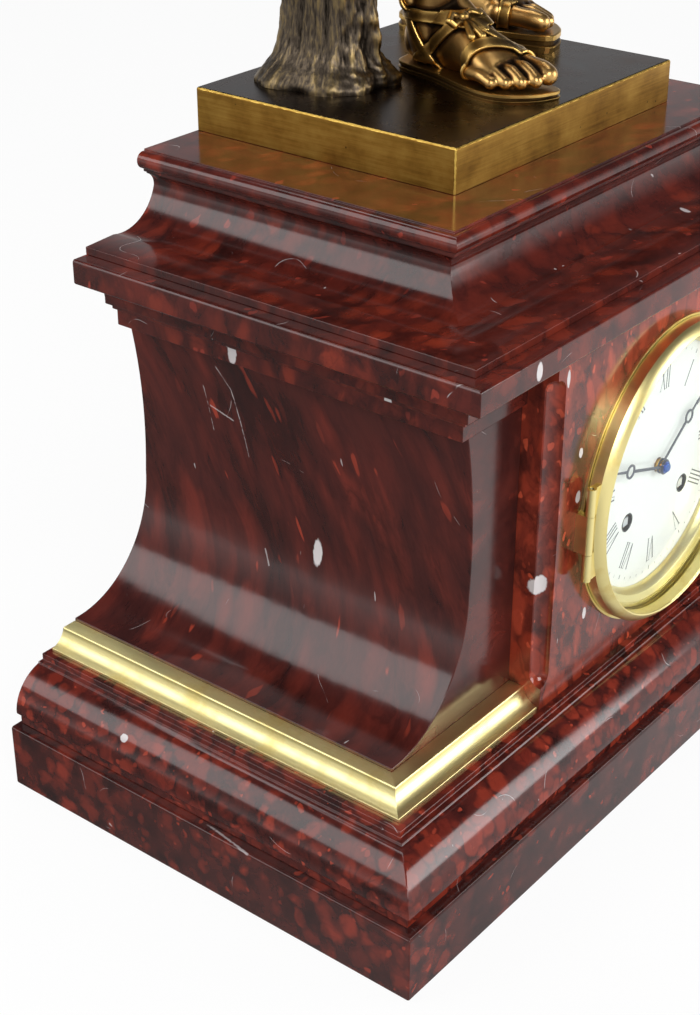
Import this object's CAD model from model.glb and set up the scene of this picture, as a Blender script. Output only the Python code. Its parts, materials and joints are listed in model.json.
# %% [markdown]
# # A red marble mantel clock with a bronze youth
#
# The clock has a case of polished red marble, gilt brass mouldings, a white enamel dial under a
# hinged glass bezel, a striking movement behind it, and a cast bronze figure on top. The frame
# that is loaded here holds every piece at its real size and place, so this file only dresses it:
# it finishes edges, replaces plain castings by modelled ones, and gives each surface its finish.

# %% Load the frame
import json
import math
import random

import bmesh
import bpy
import numpy
from mathutils import Matrix, Vector, noise


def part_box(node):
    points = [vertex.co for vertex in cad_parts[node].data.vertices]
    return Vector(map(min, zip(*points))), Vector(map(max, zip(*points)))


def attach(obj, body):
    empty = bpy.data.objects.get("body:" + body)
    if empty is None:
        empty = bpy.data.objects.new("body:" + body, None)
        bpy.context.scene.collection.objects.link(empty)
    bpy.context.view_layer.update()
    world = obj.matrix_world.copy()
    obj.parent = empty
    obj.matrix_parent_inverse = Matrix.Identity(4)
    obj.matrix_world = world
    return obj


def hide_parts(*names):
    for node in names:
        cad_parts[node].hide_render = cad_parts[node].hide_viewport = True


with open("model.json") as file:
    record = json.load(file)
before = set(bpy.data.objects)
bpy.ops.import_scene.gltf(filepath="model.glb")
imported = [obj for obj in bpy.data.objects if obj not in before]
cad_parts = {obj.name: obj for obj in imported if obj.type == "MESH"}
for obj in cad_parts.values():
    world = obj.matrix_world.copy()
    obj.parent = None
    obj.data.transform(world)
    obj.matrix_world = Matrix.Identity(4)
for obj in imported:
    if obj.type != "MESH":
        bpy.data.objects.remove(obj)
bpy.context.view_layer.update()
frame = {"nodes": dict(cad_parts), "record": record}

MM = 0.001
nodes = frame["nodes"]
body_of = {node: body for body, members in frame["record"]["behaviour"]["bodies"].items()
           for node in members}

# %% [markdown]
# ## Where the camera stands
#
# The photograph was taken from the clock's left front corner, a little above it. The horizontal
# edges of the base run to two vanishing points, and those fix the direction and the lens. The
# camera keeps that place, so the figure's upper part stands above the picture's edge, as it does
# in the photograph.

# %% Camera
camera_place = Vector((-0.6522, -0.4299, 0.5186))
camera_ahead = Vector((0.6848, 0.5465, -0.4821))
camera_lens = 64.63
film_width = 36
nearest_seen = 0.01


def in_scene(name, data):
    """A new object in the scene, for a mesh, a lamp or the camera."""
    thing = bpy.data.objects.new(name, data)
    bpy.context.scene.collection.objects.link(thing)
    return thing


def looking_along(way):
    """The rotation of a camera or a lamp that looks along a direction."""
    return way.to_track_quat("-Z", "Y").to_euler()


camera = in_scene("camera", bpy.data.cameras.new("camera"))
camera.data.lens = camera_lens
camera.data.sensor_width = film_width
camera.data.clip_start = nearest_seen
camera.location = camera_place
camera.rotation_euler = looking_along(camera_ahead)
bpy.context.scene.camera = camera
bpy.context.scene.view_settings.view_transform = "Standard"
print("camera lens:", camera_lens, "mm on a film of", film_width, "mm")

# %% [markdown]
# ## Light
#
# Polished stone shows its surroundings almost like a mirror, so the room matters as much as the
# lamps. A pale floor lights the upright faces from below, large soft lamps stand to the left, in
# front and above, and the world is pale at the horizon and greyer overhead: that keeps the tops of
# the marble deep red, as they are in the photograph. The camera itself sees plain white.

# %% Colours and shader nodes
def linear(text):
    """An sRGB colour such as #a03020 as linear values with full alpha."""
    values = [int(text[i:i + 2], 16) / 255 for i in (1, 3, 5)]
    return tuple(v / 12.92 if v <= 0.04045 else ((v + 0.055) / 1.055) ** 2.4 for v in values) + (1,)


def add(tree, kind, inputs=None, **settings):
    """Add one shader node, with its settings, plain values and links, and return it."""
    node = tree.nodes.new("ShaderNode" + kind)
    for name, value in settings.items():
        setattr(node, name, value)
    for socket, value in (inputs or {}).items():
        if isinstance(value, bpy.types.NodeSocket):
            tree.links.new(value, node.inputs[socket])
        else:
            node.inputs[socket].default_value = value
    return node


def soft_step(tree, value, low, high):
    """0 below low, 1 above high and smooth between."""
    return add(tree, "MapRange", {0: value, 1: low, 2: high},
               interpolation_type="SMOOTHSTEP").outputs[0]


def calc(tree, operation, first, second=0.0):
    """One sum or product of two values."""
    return add(tree, "Math", {0: first, 1: second}, operation=operation).outputs[0]


def mixed(tree, share, first, second):
    """Two colours mixed by a share."""
    mix = add(tree, "Mix", data_type="RGBA")
    for socket, value in ((0, share), (6, first), (7, second)):
        if isinstance(value, bpy.types.NodeSocket):
            tree.links.new(value, mix.inputs[socket])
        else:
            mix.inputs[socket].default_value = value
    return mix.outputs[2]


def ramp(tree, value, stops):
    """Colours along a value: stops are (position, hex)."""
    node = add(tree, "ValToRGB", {0: value})
    band = node.color_ramp
    while len(band.elements) < len(stops):
        band.elements.new(0.5)
    for element, (position, colour) in zip(band.elements, stops):
        element.position = position
        element.color = linear(colour)
    return node.outputs[0]


def new_material(name):
    """A material with an empty tree."""
    material = bpy.data.materials.new(name)
    material.use_nodes = True
    material.node_tree.nodes.clear()
    return material, material.node_tree


print("red of the marble as linear values:", linear("#97301f"))

# %% World
horizon_white = "#ffffff"
overhead_grey = "#46464a"
horizon_level = 0.22
overhead_level = 0.66
matt_strength = 0.5


def ray_kinds(tree):
    """Whether a ray comes from the camera, and whether it comes off a mirror or through glass."""
    ray = add(tree, "LightPath").outputs
    return ray["Is Camera Ray"], calc(tree, "MAXIMUM", ray["Is Glossy Ray"], ray["Is Transmission Ray"])


world = bpy.data.worlds.new("studio")
bpy.context.scene.world = world
world.use_nodes = True
sky = world.node_tree
sky.nodes.clear()
height = add(sky, "SeparateXYZ", {0: add(sky, "TexCoord").outputs["Generated"]}).outputs["Z"]
level = add(sky, "MapRange", {0: height, 1: -0.2, 2: 0.8}).outputs[0]
shade = ramp(sky, level, ((horizon_level, horizon_white), (overhead_level, overhead_grey)))
room = add(sky, "Background", {"Color": shade, "Strength": matt_strength})
backdrop = add(sky, "Background", {"Color": shade, "Strength": 1.0})
white = add(sky, "Background", {"Color": linear("#ffffff"), "Strength": 1.0})
from_camera, mirrored = ray_kinds(sky)
around = add(sky, "MixShader", {0: mirrored, 1: room.outputs[0], 2: backdrop.outputs[0]})
direct = add(sky, "MixShader", {0: from_camera, 1: around.outputs[0], 2: white.outputs[0]})
add(sky, "OutputWorld", {"Surface": direct.outputs[0]})
print("world:", horizon_white, "at the horizon and", overhead_grey, "overhead")

# %% Lamps
clock_middle = Vector((0, 0, 0.3))
for name, place, size, power in (("key_lamp", (-1.3, -1.5, 1.7), 1.1, 38),
                                 ("side_lamp", (-1.25, 0.95, 1.35), 1.2, 14),
                                 ("front_lamp", (1.2, -1.9, 0.9), 1.2, 25),
                                 ("top_lamp", (0.4, 0.6, 2.2), 1.2, 14)):
    light = bpy.data.lights.new(name, "AREA")
    light.size = size
    light.energy = power
    lamp = in_scene(name, light)
    lamp.location = place
    lamp.rotation_euler = looking_along(clock_middle - Vector(place))
    print(name, power, "W")

# %% Floor
floor_radius = 6
floor_gap = 0.0002
shaded_glow = 0.12
mirrored_white = 0.93


def as_mesh(shape, name):
    """Store a bmesh in a new mesh and free it."""
    mesh = bpy.data.meshes.new(name)
    shape.to_mesh(mesh)
    shape.free()
    return mesh


disc = bmesh.new()
bmesh.ops.create_circle(disc, cap_ends=True, segments=64, radius=floor_radius)
bmesh.ops.translate(disc, vec=(0, 0, -floor_gap), verts=disc.verts)
floor = in_scene("floor", as_mesh(disc, "floor"))
paint, tree = new_material("pale_floor")
matt = add(tree, "BsdfDiffuse", {"Color": linear("#f6f6f6")})
place = add(tree, "TexCoord").outputs["Object"]
across = add(tree, "VectorMath", {0: place, 1: (0.7, -0.7, 0)}, operation="DOT_PRODUCT").outputs["Value"]
lit_side = add(tree, "MapRange", {0: across, 1: -0.25, 2: 0.25, 3: shaded_glow, 4: 1.0}).outputs[0]
distance = add(tree, "VectorMath", {0: place}, operation="LENGTH").outputs["Value"]
far = add(tree, "MapRange", {0: distance, 1: 0.4, 2: 2.4, 3: shaded_glow, 4: 1.0}).outputs[0]
from_camera, mirrored = ray_kinds(tree)
brightness = calc(tree, "MAXIMUM", calc(tree, "MAXIMUM", lit_side, far), from_camera)
glow = add(tree, "Emission", {"Color": linear("#ffffff"), "Strength": brightness})
share = calc(tree, "MULTIPLY", calc(tree, "MAXIMUM", mirrored, from_camera), mirrored_white)
blend = add(tree, "MixShader", {0: share, 1: matt.outputs[0], 2: glow.outputs[0]})
add(tree, "OutputMaterial", {"Surface": blend.outputs[0]})
floor.data.materials.append(paint)
print("floor radius:", floor_radius, "m")

# %% [markdown]
# ## Red griotte marble
#
# This limestone is full of rounded red lumps, each a fossil shell a few millimetres across, in a
# dark brown-purple mud. Thin dark seams cross it, hair-fine white calcite veins and a few white
# spots too. A Voronoi pattern gives the lumps, because its cells are packed as shells are, and
# noise bends it so that no cell is regular. The wings were cut along the bed, so there the lumps
# are large, dark and drawn out, and one function with a few values makes both.

# %% Red lumps in dark mud
def millimetres(tree, turn=(0, 0, 0), stretch=(1, 1, 1), shift=(0, 0, 0)):
    """Object coordinates in millimetres, turned and stretched for this piece."""
    place = add(tree, "TexCoord").outputs["Object"]
    turned = add(tree, "Mapping", {"Vector": place, "Rotation": turn, "Scale": (1 / MM,) * 3}).outputs[0]
    return add(tree, "Mapping", {"Vector": turned, "Scale": stretch, "Location": shift}).outputs[0]


def bent_by_noise(tree, place, lump):
    """A place that noise pushes about, so that no cell stays regular."""
    bend = add(tree, "TexNoise", {"Vector": place, "Scale": 0.7 / lump, "Detail": 3.0, "Roughness": 0.55})
    centred = add(tree, "VectorMath", {0: bend.outputs["Color"], 1: (0.5, 0.5, 0.5)}, operation="SUBTRACT")
    push = add(tree, "VectorMath", {0: centred.outputs[0], 3: lump * 1.3}, operation="SCALE")
    return add(tree, "VectorMath", {0: place, 1: push.outputs[0]}, operation="ADD").outputs[0]


def large_lumps(tree, place, bent, lump, rich, soft):
    """How strongly a large lump shows at a place, and three random tones for each lump."""
    region = add(tree, "TexNoise", {"Vector": place, "Scale": 0.2 / lump, "Detail": 2.0}).outputs["Fac"]
    wealth = soft_step(tree, region, 0.62 - 0.45 * rich, 0.88 - 0.45 * rich)
    cells = add(tree, "TexVoronoi", {"Vector": bent, "Scale": 1 / lump, "Smoothness": 0.35},
                feature="SMOOTH_F1")
    tones = add(tree, "SeparateColor", {0: cells.outputs["Color"]}).outputs
    reach = calc(tree, "ADD", calc(tree, "MULTIPLY", tones[0], 0.4), calc(tree, "MULTIPLY", wealth, 0.34))
    inside = soft_step(tree, calc(tree, "SUBTRACT", reach, cells.outputs["Distance"]), -soft, soft * 1.4)
    strength = calc(tree, "ADD", 0.35, calc(tree, "MULTIPLY", tones[1], 0.65))
    return calc(tree, "MULTIPLY", inside, strength), tones


def small_pebbles(tree, bent, lump, flecks):
    """How strongly a small bright bit shows at a place, and one random tone for each."""
    cells = add(tree, "TexVoronoi", {"Vector": bent, "Scale": 2.4 / lump})
    tones = add(tree, "SeparateColor", {0: cells.outputs["Color"]}).outputs
    inside = calc(tree, "SUBTRACT", calc(tree, "MULTIPLY", tones[1], 0.5), cells.outputs["Distance"])
    chosen = soft_step(tree, tones[2], 0.96 - flecks, 1.0 - flecks)
    return calc(tree, "MULTIPLY", soft_step(tree, inside, -0.03, 0.14), chosen), tones[0]


def dark_haze(tree, bent, lump):
    """Smoky dark clouds over lumps and mud alike."""
    drift = add(tree, "TexNoise", {"Vector": bent, "Scale": 0.42 / lump, "Detail": 5.0, "Roughness": 0.7,
                                   "Distortion": 0.6}).outputs["Fac"]
    return soft_step(tree, drift, 0.50, 0.68)


def dark_seams(tree, place, bent, lump):
    """Thin dark lines between the cells, torn by noise."""
    web = add(tree, "TexVoronoi", {"Vector": bent, "Scale": 0.9 / lump}, feature="DISTANCE_TO_EDGE")
    torn = add(tree, "TexNoise", {"Vector": place, "Scale": 0.4 / lump, "Detail": 4.0,
                                  "Roughness": 0.65}).outputs["Fac"]
    width = calc(tree, "MULTIPLY", calc(tree, "SUBTRACT", torn, 0.5), 0.55)
    return soft_step(tree, calc(tree, "SUBTRACT", width, web.outputs["Distance"]), -0.05, 0.07)


print("lumps, pebbles, haze and seams ready")

# %% White calcite
def scattered_veins(tree, plain):
    """Fine white veins along the level lines of one wide noise."""
    wide = add(tree, "TexNoise", {"Vector": plain, "Scale": 0.022, "Detail": 1.0,
                                  "Distortion": 0.2}).outputs["Fac"]
    near = calc(tree, "ABSOLUTE", calc(tree, "SUBTRACT", wide, 0.52))
    where = soft_step(tree, add(tree, "TexNoise", {"Vector": plain, "Scale": 0.06}).outputs["Fac"], 0.6, 0.66)
    vein = soft_step(tree, calc(tree, "SUBTRACT", 0.0016, near), 0.0, 0.0012)
    return calc(tree, "MULTIPLY", calc(tree, "MULTIPLY", vein, where), 0.55)


def scattered_specks(tree, bent, specks):
    """Small white specks in a few of the cells of a Voronoi pattern."""
    cells = add(tree, "TexVoronoi", {"Vector": bent, "Scale": 0.11})
    chosen = add(tree, "SeparateColor", {0: cells.outputs["Color"]}).outputs[2]
    size = calc(tree, "ADD", 0.01, calc(tree, "MULTIPLY", chosen, 0.08))
    speck = soft_step(tree, calc(tree, "SUBTRACT", size, cells.outputs["Distance"]), 0.0, 0.03)
    kept = soft_step(tree, chosen, 1.0 - 0.5 * specks, 1.02 - 0.5 * specks)
    return calc(tree, "MULTIPLY", calc(tree, "MULTIPLY", speck, kept), 0.6)


def white_spot(tree, plain, grain, centre, half_size, lean):
    """One oval spot with a ragged outline."""
    away = add(tree, "VectorMath", {0: plain, 1: centre}, operation="SUBTRACT").outputs[0]
    tilted = add(tree, "Mapping", {"Vector": away, "Rotation": lean,
                                   "Scale": [1 / size for size in half_size]})
    length = add(tree, "VectorMath", {0: tilted.outputs[0]}, operation="LENGTH").outputs["Value"]
    ragged = calc(tree, "ADD", length, calc(tree, "MULTIPLY", grain, 0.45))
    return soft_step(tree, calc(tree, "SUBTRACT", 1.22, ragged), 0.0, 0.2)


def white_hair(tree, plain, grain, start, end, half_width):
    """One straight length of a hair-fine vein."""
    way = Vector(end) - Vector(start)
    reached = add(tree, "VectorMath", {0: plain, 1: start}, operation="SUBTRACT").outputs[0]
    aside = add(tree, "VectorMath", {0: reached, 1: way.normalized()}, operation="CROSS_PRODUCT").outputs[0]
    off = add(tree, "VectorMath", {0: aside}, operation="LENGTH").outputs["Value"]
    off = calc(tree, "ADD", off, calc(tree, "MULTIPLY", calc(tree, "SUBTRACT", grain, 0.5), 0.9))
    along = add(tree, "VectorMath", {0: reached, 1: way / way.length_squared},
                operation="DOT_PRODUCT").outputs["Value"]
    from_middle = calc(tree, "ABSOLUTE", calc(tree, "SUBTRACT", along, 0.5))
    thin = soft_step(tree, calc(tree, "ABSOLUTE", off), half_width, half_width * 0.4)
    return calc(tree, "MULTIPLY", calc(tree, "MULTIPLY", thin, soft_step(tree, from_middle, 0.52, 0.46)), 0.5)


print("veins, specks, spots and hairs ready")

# %% The whole marble
def red_marble(name, lump, rich, soft, smoke, seam, flecks, specks, ground, reds, bright, shift,
               turn=(0, 0, 0), stretch=(1, 1, 1), spots=(), hairs=()):
    """Griotte: lump is the usual size of a red lump in mm, rich how much of the stone is red.

    soft is how blurred a lump's outline is, and smoke, seam, flecks and specks say how much there
    is of dark haze, dark lines, small bright bits and white specks. shift moves the pattern, so
    that no two blocks are cut alike.
    """
    material, tree = new_material(name)
    plain = millimetres(tree)
    place = millimetres(tree, turn, stretch, shift)
    bent = bent_by_noise(tree, place, lump)
    grain = add(tree, "TexNoise", {"Vector": place, "Scale": 0.6, "Detail": 4.0}).outputs["Fac"]
    cloud = add(tree, "TexNoise", {"Vector": bent, "Scale": 0.5 / lump, "Detail": 6.0,
                                   "Roughness": 0.62}).outputs["Fac"]
    lumps, tones = large_lumps(tree, place, bent, lump, rich, soft)
    pebbles, pebble_tone = small_pebbles(tree, bent, lump, flecks)

    mud_level = calc(tree, "ADD", cloud, calc(tree, "MULTIPLY", calc(tree, "SUBTRACT", grain, 0.5), 0.14))
    mud = ramp(tree, mud_level, ((0.34, ground[0]), (0.64, ground[1])))
    red_level = calc(tree, "ADD", calc(tree, "MULTIPLY", tones[2], 0.75), calc(tree, "MULTIPLY", grain, 0.3))
    red = ramp(tree, red_level, ((0.1, reds[0]), (0.95, reds[1])))
    colour = mixed(tree, lumps, mud, red)
    pebble = ramp(tree, pebble_tone, ((0.0, reds[0]), (0.8, bright)))
    colour = mixed(tree, calc(tree, "MULTIPLY", pebbles, 0.85), colour, pebble)
    haze = calc(tree, "MULTIPLY", dark_haze(tree, bent, lump), smoke)
    colour = mixed(tree, haze, colour, linear("#1f0e0e"))
    seams = calc(tree, "MULTIPLY", dark_seams(tree, place, bent, lump), seam)
    colour = mixed(tree, seams, colour, linear("#1a0b0b"))

    marks = [scattered_specks(tree, bent, specks)]
    marks += [white_spot(tree, plain, grain, *spot) for spot in spots]
    marks += [white_hair(tree, plain, grain, *hair) for hair in hairs]
    white = scattered_veins(tree, plain)
    for mark in marks:
        white = calc(tree, "MAXIMUM", white, mark)
    colour = mixed(tree, white, colour, linear("#d2cccc"))

    polish = add(tree, "MapRange", {0: grain, 3: 0.08, 4: 0.2}).outputs[0]
    surface = add(tree, "BsdfPrincipled", {"Base Color": colour, "Roughness": polish, "IOR": 1.5})
    add(tree, "OutputMaterial", {"Surface": surface.outputs[0]})
    return material


print("one recipe for all the marble ready")

# %% Marble of the slab and the base
upright = (0, 0, 0)
slab_marble = red_marble(
    "griotte_slab", lump=9.0, rich=0.6, soft=0.2, smoke=0.5, seam=0.25, flecks=0.16, shift=(33, 27, 3),
    ground=("#2a1211", "#4c1f1a"), reds=("#5e221a", "#8f3424"), bright="#9f3b28", specks=0.1,
    hairs=(((-213.5, 9.9, 34.8), (-215.4, -9.0, 32.0), 0.8),
           ((-215.4, -9.0, 32.0), (-218.3, -29.9, 31.4), 0.7)))
base_marble = red_marble(
    "griotte_base", lump=7.5, rich=0.95, soft=0.13, smoke=0.6, seam=0.45, flecks=0.25, shift=(13, 7, 3),
    ground=("#2c1210", "#56201a"), reds=("#6a2319", "#983826"), bright="#ab4430", specks=0.25,
    spots=(((-211.0, 47.2, 51.3), (4, 2.2, 1.6), upright),))
print("slab and base marble ready")

# %% Marble of the case
panel_turn = (0, math.radians(14), 0)
panel_marble = red_marble(
    "griotte_panel", lump=8.0, rich=1.0, soft=0.13, smoke=0.6, seam=0.3, flecks=0.4, shift=(40, 11, 5),
    ground=("#3e1711", "#7a2e20"), reds=("#842e1e", "#b0472f"), bright="#c45236", specks=0.3,
    stretch=(1, 1, 0.6), turn=panel_turn,
    spots=(((-87.1, -89.4, 216.5), (1.3, 3, 4.2), upright), ((-73.9, -89.4, 178.5), (1.6, 3, 2.6), upright),
           ((-73.9, -89.4, 158.0), (2.0, 3, 3.2), upright), ((-62.0, -89.4, 95.4), (1.6, 3, 3.2), upright),
           ((-92.3, -83.9, 121.9), (4.2, 5, 5.0), upright)))
streaks_turn = (math.radians(24), 0, 0)
spot_lean = (math.radians(-12), 0, 0)
wing_marble = red_marble(
    "griotte_wing", lump=15.0, rich=0.75, soft=0.42, smoke=0.62, seam=0.16, flecks=0.13, shift=(5, 3, 60),
    ground=("#2b1413", "#4c201b"), reds=("#54211b", "#7c2f23"), bright="#a03d2a", specks=0.3,
    stretch=(0.6, 1.5, 0.42), turn=streaks_turn,
    spots=(((-128.4, 5.9, 121.3), (6, 2.7, 7.2), spot_lean),),
    hairs=(((-130.8, 60.2, 195.3), (-129.3, 52.8, 185.6), 0.32),
           ((-129.3, 52.8, 185.6), (-127.8, 49.5, 171.7), 0.32),
           ((-127.8, 49.5, 171.7), (-127.0, 45.6, 154.6), 0.3),
           ((-128.9, 69.5, 183.0), (-127.2, 65.7, 161.6), 0.3),
           ((-128.0, 66.8, 173.8), (-127.6, 53.2, 170.1), 0.45),
           ((-129.6, 35.3, 113.7), (-131.7, 31.4, 106.8), 0.5)))
top_turn = (0, 0, math.radians(20))
top_marble = red_marble(
    "griotte_top", lump=11.0, rich=0.75, soft=0.26, smoke=0.6, seam=0.3, flecks=0.14, shift=(7, 90, 20),
    ground=("#30120f", "#561f18"), reds=("#5e2018", "#85311f"), bright="#94382a", specks=0.2,
    stretch=(0.8, 1.2, 0.8), turn=top_turn,
    spots=(((-139.3, 42.3, 209.5), (4, 2.6, 6.0), upright), ((-142.1, -41.7, 213.4), (3, 2.0, 3.4), upright),
           ((-124.8, -99.4, 236.0), (2.2, 3, 4.2), upright), ((40.8, -66.4, 245.5), (1.6, 3, 4.0), upright)))
print("panel, wing and top marble ready")

# %% [markdown]
# ## Finishing the marble blocks
#
# The loaded meshes are loose triangles with knife edges. Real marble is rubbed down, so each
# arris is a narrow rounded line that catches the light. A merged copy of each block, with its flat
# faces joined up again, gets a Bevel modifier on its sharp edges. Modelling the blocks anew would
# give the same shapes, so this way keeps them exactly where the frame has them.

# %% Copies with rounded arrises
doubles_reach = 0.002 * MM
flat_angle = math.radians(0.4)
arris_angle = math.radians(28)


def finished_copy(node, material, edge=0.5 * MM):
    """A merged copy of a loaded node, with rounded edges, that stands for the node."""
    mesh = nodes[node].data.copy()
    shape = bmesh.new()
    shape.from_mesh(mesh)
    bmesh.ops.remove_doubles(shape, verts=shape.verts, dist=doubles_reach)
    bmesh.ops.dissolve_limit(shape, angle_limit=flat_angle, verts=shape.verts, edges=shape.edges)
    for face in shape.faces:
        face.smooth = True
    for line in shape.edges:
        line.smooth = len(line.link_faces) == 2 and line.calc_face_angle(0) < arris_angle
    shape.to_mesh(mesh)
    shape.free()
    mesh.materials.clear()
    mesh.materials.append(material)
    piece = in_scene(node + "_finished", mesh)
    rounding = piece.modifiers.new("arris", "BEVEL")
    rounding.width = edge
    rounding.segments = 2
    rounding.limit_method = "ANGLE"
    rounding.angle_limit = arris_angle
    rounding.harden_normals = True
    rounding.use_clamp_overlap = True
    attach(piece, body_of[node])
    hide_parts(node)
    print(piece.name, len(mesh.polygons), "faces before rounding")


marble_blocks = [("base_slab", slab_marble, 0.6 * MM), ("base_moulding", base_marble, 0.5 * MM),
                 ("front_panel", panel_marble, 0.5 * MM), ("side_cheeks", panel_marble, 0.5 * MM),
                 ("back_panel", panel_marble, 0.5 * MM), ("left_wing", wing_marble, 0.5 * MM),
                 ("right_wing", wing_marble, 0.5 * MM), ("wing_friezes", top_marble, 0.4 * MM),
                 ("cornice", top_marble, 0.4 * MM), ("attic", top_marble, 0.4 * MM),
                 ("top_slab", top_marble, 0.4 * MM)]
for node, marble, edge in marble_blocks:
    finished_copy(node, marble, edge)

# %% [markdown]
# ## Gilt brass
#
# The mouldings, the bezel and its seat are cast brass, turned or filed, polished and gilt. Gilding
# keeps a warm pale yellow with a silky sheen. Its roughness is low where it was burnished, and fine
# streaks follow the turning or the filing. On a ring the streaks run round the dial's axis, so the
# pattern is drawn from the distance to that axis.

# %% Turned and filed metal
def from_dial_axis(tree, place, axis):
    """Distance of a place, in millimetres, from a line that runs front to back."""
    away = add(tree, "VectorMath", {0: place, 1: axis}, operation="SUBTRACT").outputs[0]
    flat = add(tree, "VectorMath", {0: away, 1: (1, 0, 1)}, operation="MULTIPLY").outputs[0]
    return add(tree, "VectorMath", {0: flat}, operation="LENGTH").outputs["Value"]


def metal(name, colour, dark, roughness, streak, round_axis=None, bump=0.0, worn=0.5):
    """A metal with patches of tarnish; streaks run along X, or round a front-to-back axis."""
    material, tree = new_material(name)
    place = millimetres(tree)
    if round_axis:
        centred = add(tree, "VectorMath", {0: place, 1: round_axis}, operation="SUBTRACT").outputs[0]
        radius = from_dial_axis(tree, centred, (0, 0, 0))
        parts = add(tree, "SeparateXYZ", {0: centred}).outputs
        line = add(tree, "CombineXYZ", {0: calc(tree, "MULTIPLY", radius, 6.0),
                                        1: calc(tree, "MULTIPLY", parts[1], 6.0),
                                        2: calc(tree, "MULTIPLY", parts[2], 0.03)}).outputs[0]
    else:
        line = add(tree, "Mapping", {"Vector": place, "Scale": (0.06, 0.06, 3.0)}).outputs[0]
    streaks = add(tree, "TexNoise", {"Vector": line, "Scale": 1.0, "Detail": 3.0}).outputs["Fac"]
    patches = add(tree, "TexNoise", {"Vector": place, "Scale": 0.05, "Detail": 5.0,
                                     "Roughness": 0.6}).outputs["Fac"]
    tarnish = soft_step(tree, patches, 0.48, 0.48 + worn * 0.5)
    tone = mixed(tree, calc(tree, "MULTIPLY", tarnish, 0.55), linear(colour), linear(dark))
    rough = calc(tree, "ADD", roughness, calc(tree, "MULTIPLY", tarnish, 0.12))
    rough = calc(tree, "ADD", rough, calc(tree, "MULTIPLY", streaks, streak))
    inputs = {"Base Color": tone, "Metallic": 1.0, "Roughness": rough}
    if bump:
        ridge = add(tree, "Bump", {"Height": streaks, "Strength": bump, "Distance": 0.0001})
        inputs["Normal"] = ridge.outputs[0]
    surface = add(tree, "BsdfPrincipled", inputs)
    add(tree, "OutputMaterial", {"Surface": surface.outputs[0]})
    return material


dial_height_mm = 142.0
dial_axis = (0, 0, dial_height_mm)
bell_axis = (18, 0, dial_height_mm - 5)
gilt_ring = metal("gilt_turned_brass", "#f6e6a0", "#dcbd62", 0.26, streak=0.14, round_axis=dial_axis,
                  bump=0.12)
gilt_strip = metal("gilt_filed_brass", "#f8eaa8", "#e0c670", 0.3, streak=0.16, bump=0.1)
clock_brass = metal("lacquered_brass", "#cfa350", "#8d6a2c", 0.24, streak=0.1, worn=0.8)
bright_steel = metal("filed_bright_steel", "#f0f0f2", "#b9b9bd", 0.38, streak=0.08)
grey_steel = metal("polished_steel", "#8f9094", "#5c5b5c", 0.2, streak=0.1)
bell_metal = metal("turned_bell_metal", "#b59a5c", "#8a713c", 0.22, streak=0.16, round_axis=bell_axis,
                   bump=0.3)
print("brass and steel ready")

# %% Blued hands
blue_nut = "#3f6cc0"
nut_radius = 2.8
nut_softness = 0.4
blued_steel = metal("blued_steel", "#6a6d78", "#484a52", 0.3, streak=0.08)
tree = blued_steel.node_tree
shader = next(node for node in tree.nodes if node.type == "BSDF_PRINCIPLED")
steel_tone = shader.inputs["Base Color"].links[0].from_socket
radius = from_dial_axis(tree, millimetres(tree), dial_axis)
inside_nut = soft_step(tree, radius, nut_radius + nut_softness, nut_radius - nut_softness)
tree.links.new(mixed(tree, inside_nut, steel_tone, linear(blue_nut)), shader.inputs["Base Color"])
print("blued nut radius:", nut_radius, "mm")

# %% Metal pieces
def coat(material, *names):
    """Give loaded nodes a new finish in their own slots."""
    for name in names:
        piece = nodes[name]
        if not len(piece.material_slots):
            piece.data.materials.append(material)
        for entry in piece.material_slots:
            entry.material = material


finished_copy("gilt_mouldings", gilt_strip, edge=0.25 * MM)
for node in ("bezel", "bezel_seat", "sight_ring"):
    finished_copy(node, gilt_ring, edge=0.15 * MM)
coat(clock_brass, "back_ring", "back_door", "movement_straps", "front_plate", "back_plate", "plate_pillars",
     "going_barrel", "strike_barrel", "intermediate_wheel", "centre_wheel", "third_wheel", "escape_wheel",
     "hour_wheel", "minute_wheel", "pin_wheel", "locking_wheel", "strike_fly", "count_wheel",
     "suspension_cock", "pendulum")
coat(grey_steel, "going_mainspring", "strike_mainspring", "hinge_pins", "going_click", "strike_click",
     "count_detent", "pallet_anchor", "hammer", "figure_studs")
coat(bright_steel, "going_arbor", "strike_arbor")
coat(blued_steel, "hour_hand", "minute_hand")
coat(bell_metal, "bell")
print("metal pieces coated")

# %% [markdown]
# ## The enamel dial
#
# The dial is a copper disc with fired white glass on it, glossy and a little uneven. Its numerals
# are painted with a fine brush and fired again, so they lie flat on it. They are upright roman
# figures whose feet point to the middle. Each stroke is a thin flat bar, thick or hair-fine as a
# brush makes it.

# %% Enamel
winding_hole_aside = 24.1
winding_hole_drop = 19.2
eyelet_radius = 4.5
eyelet_softness = 0.1

enamel, tree = new_material("white_enamel")
place = millimetres(tree)
wave = add(tree, "TexNoise", {"Vector": place, "Scale": 0.12, "Detail": 2.0}).outputs["Fac"]
ripple = add(tree, "Bump", {"Height": wave, "Strength": 0.08, "Distance": 0.0005})
eyelets = 0.0
for side in (-1, 1):
    hole = (side * winding_hole_aside, 0, dial_height_mm - winding_hole_drop)
    radius = from_dial_axis(tree, place, hole)
    inside = soft_step(tree, radius, eyelet_radius + eyelet_softness, eyelet_radius - eyelet_softness)
    eyelets = calc(tree, "MAXIMUM", eyelets, inside)
enamel_tone = mixed(tree, eyelets, linear("#fdfdfb"), linear("#101012"))
glaze = add(tree, "BsdfPrincipled", {"Base Color": enamel_tone, "Roughness": 0.12, "IOR": 1.5,
                                     "Normal": ripple.outputs[0]})
add(tree, "OutputMaterial", {"Surface": glaze.outputs[0]})
coat(enamel, "dial")

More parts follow.
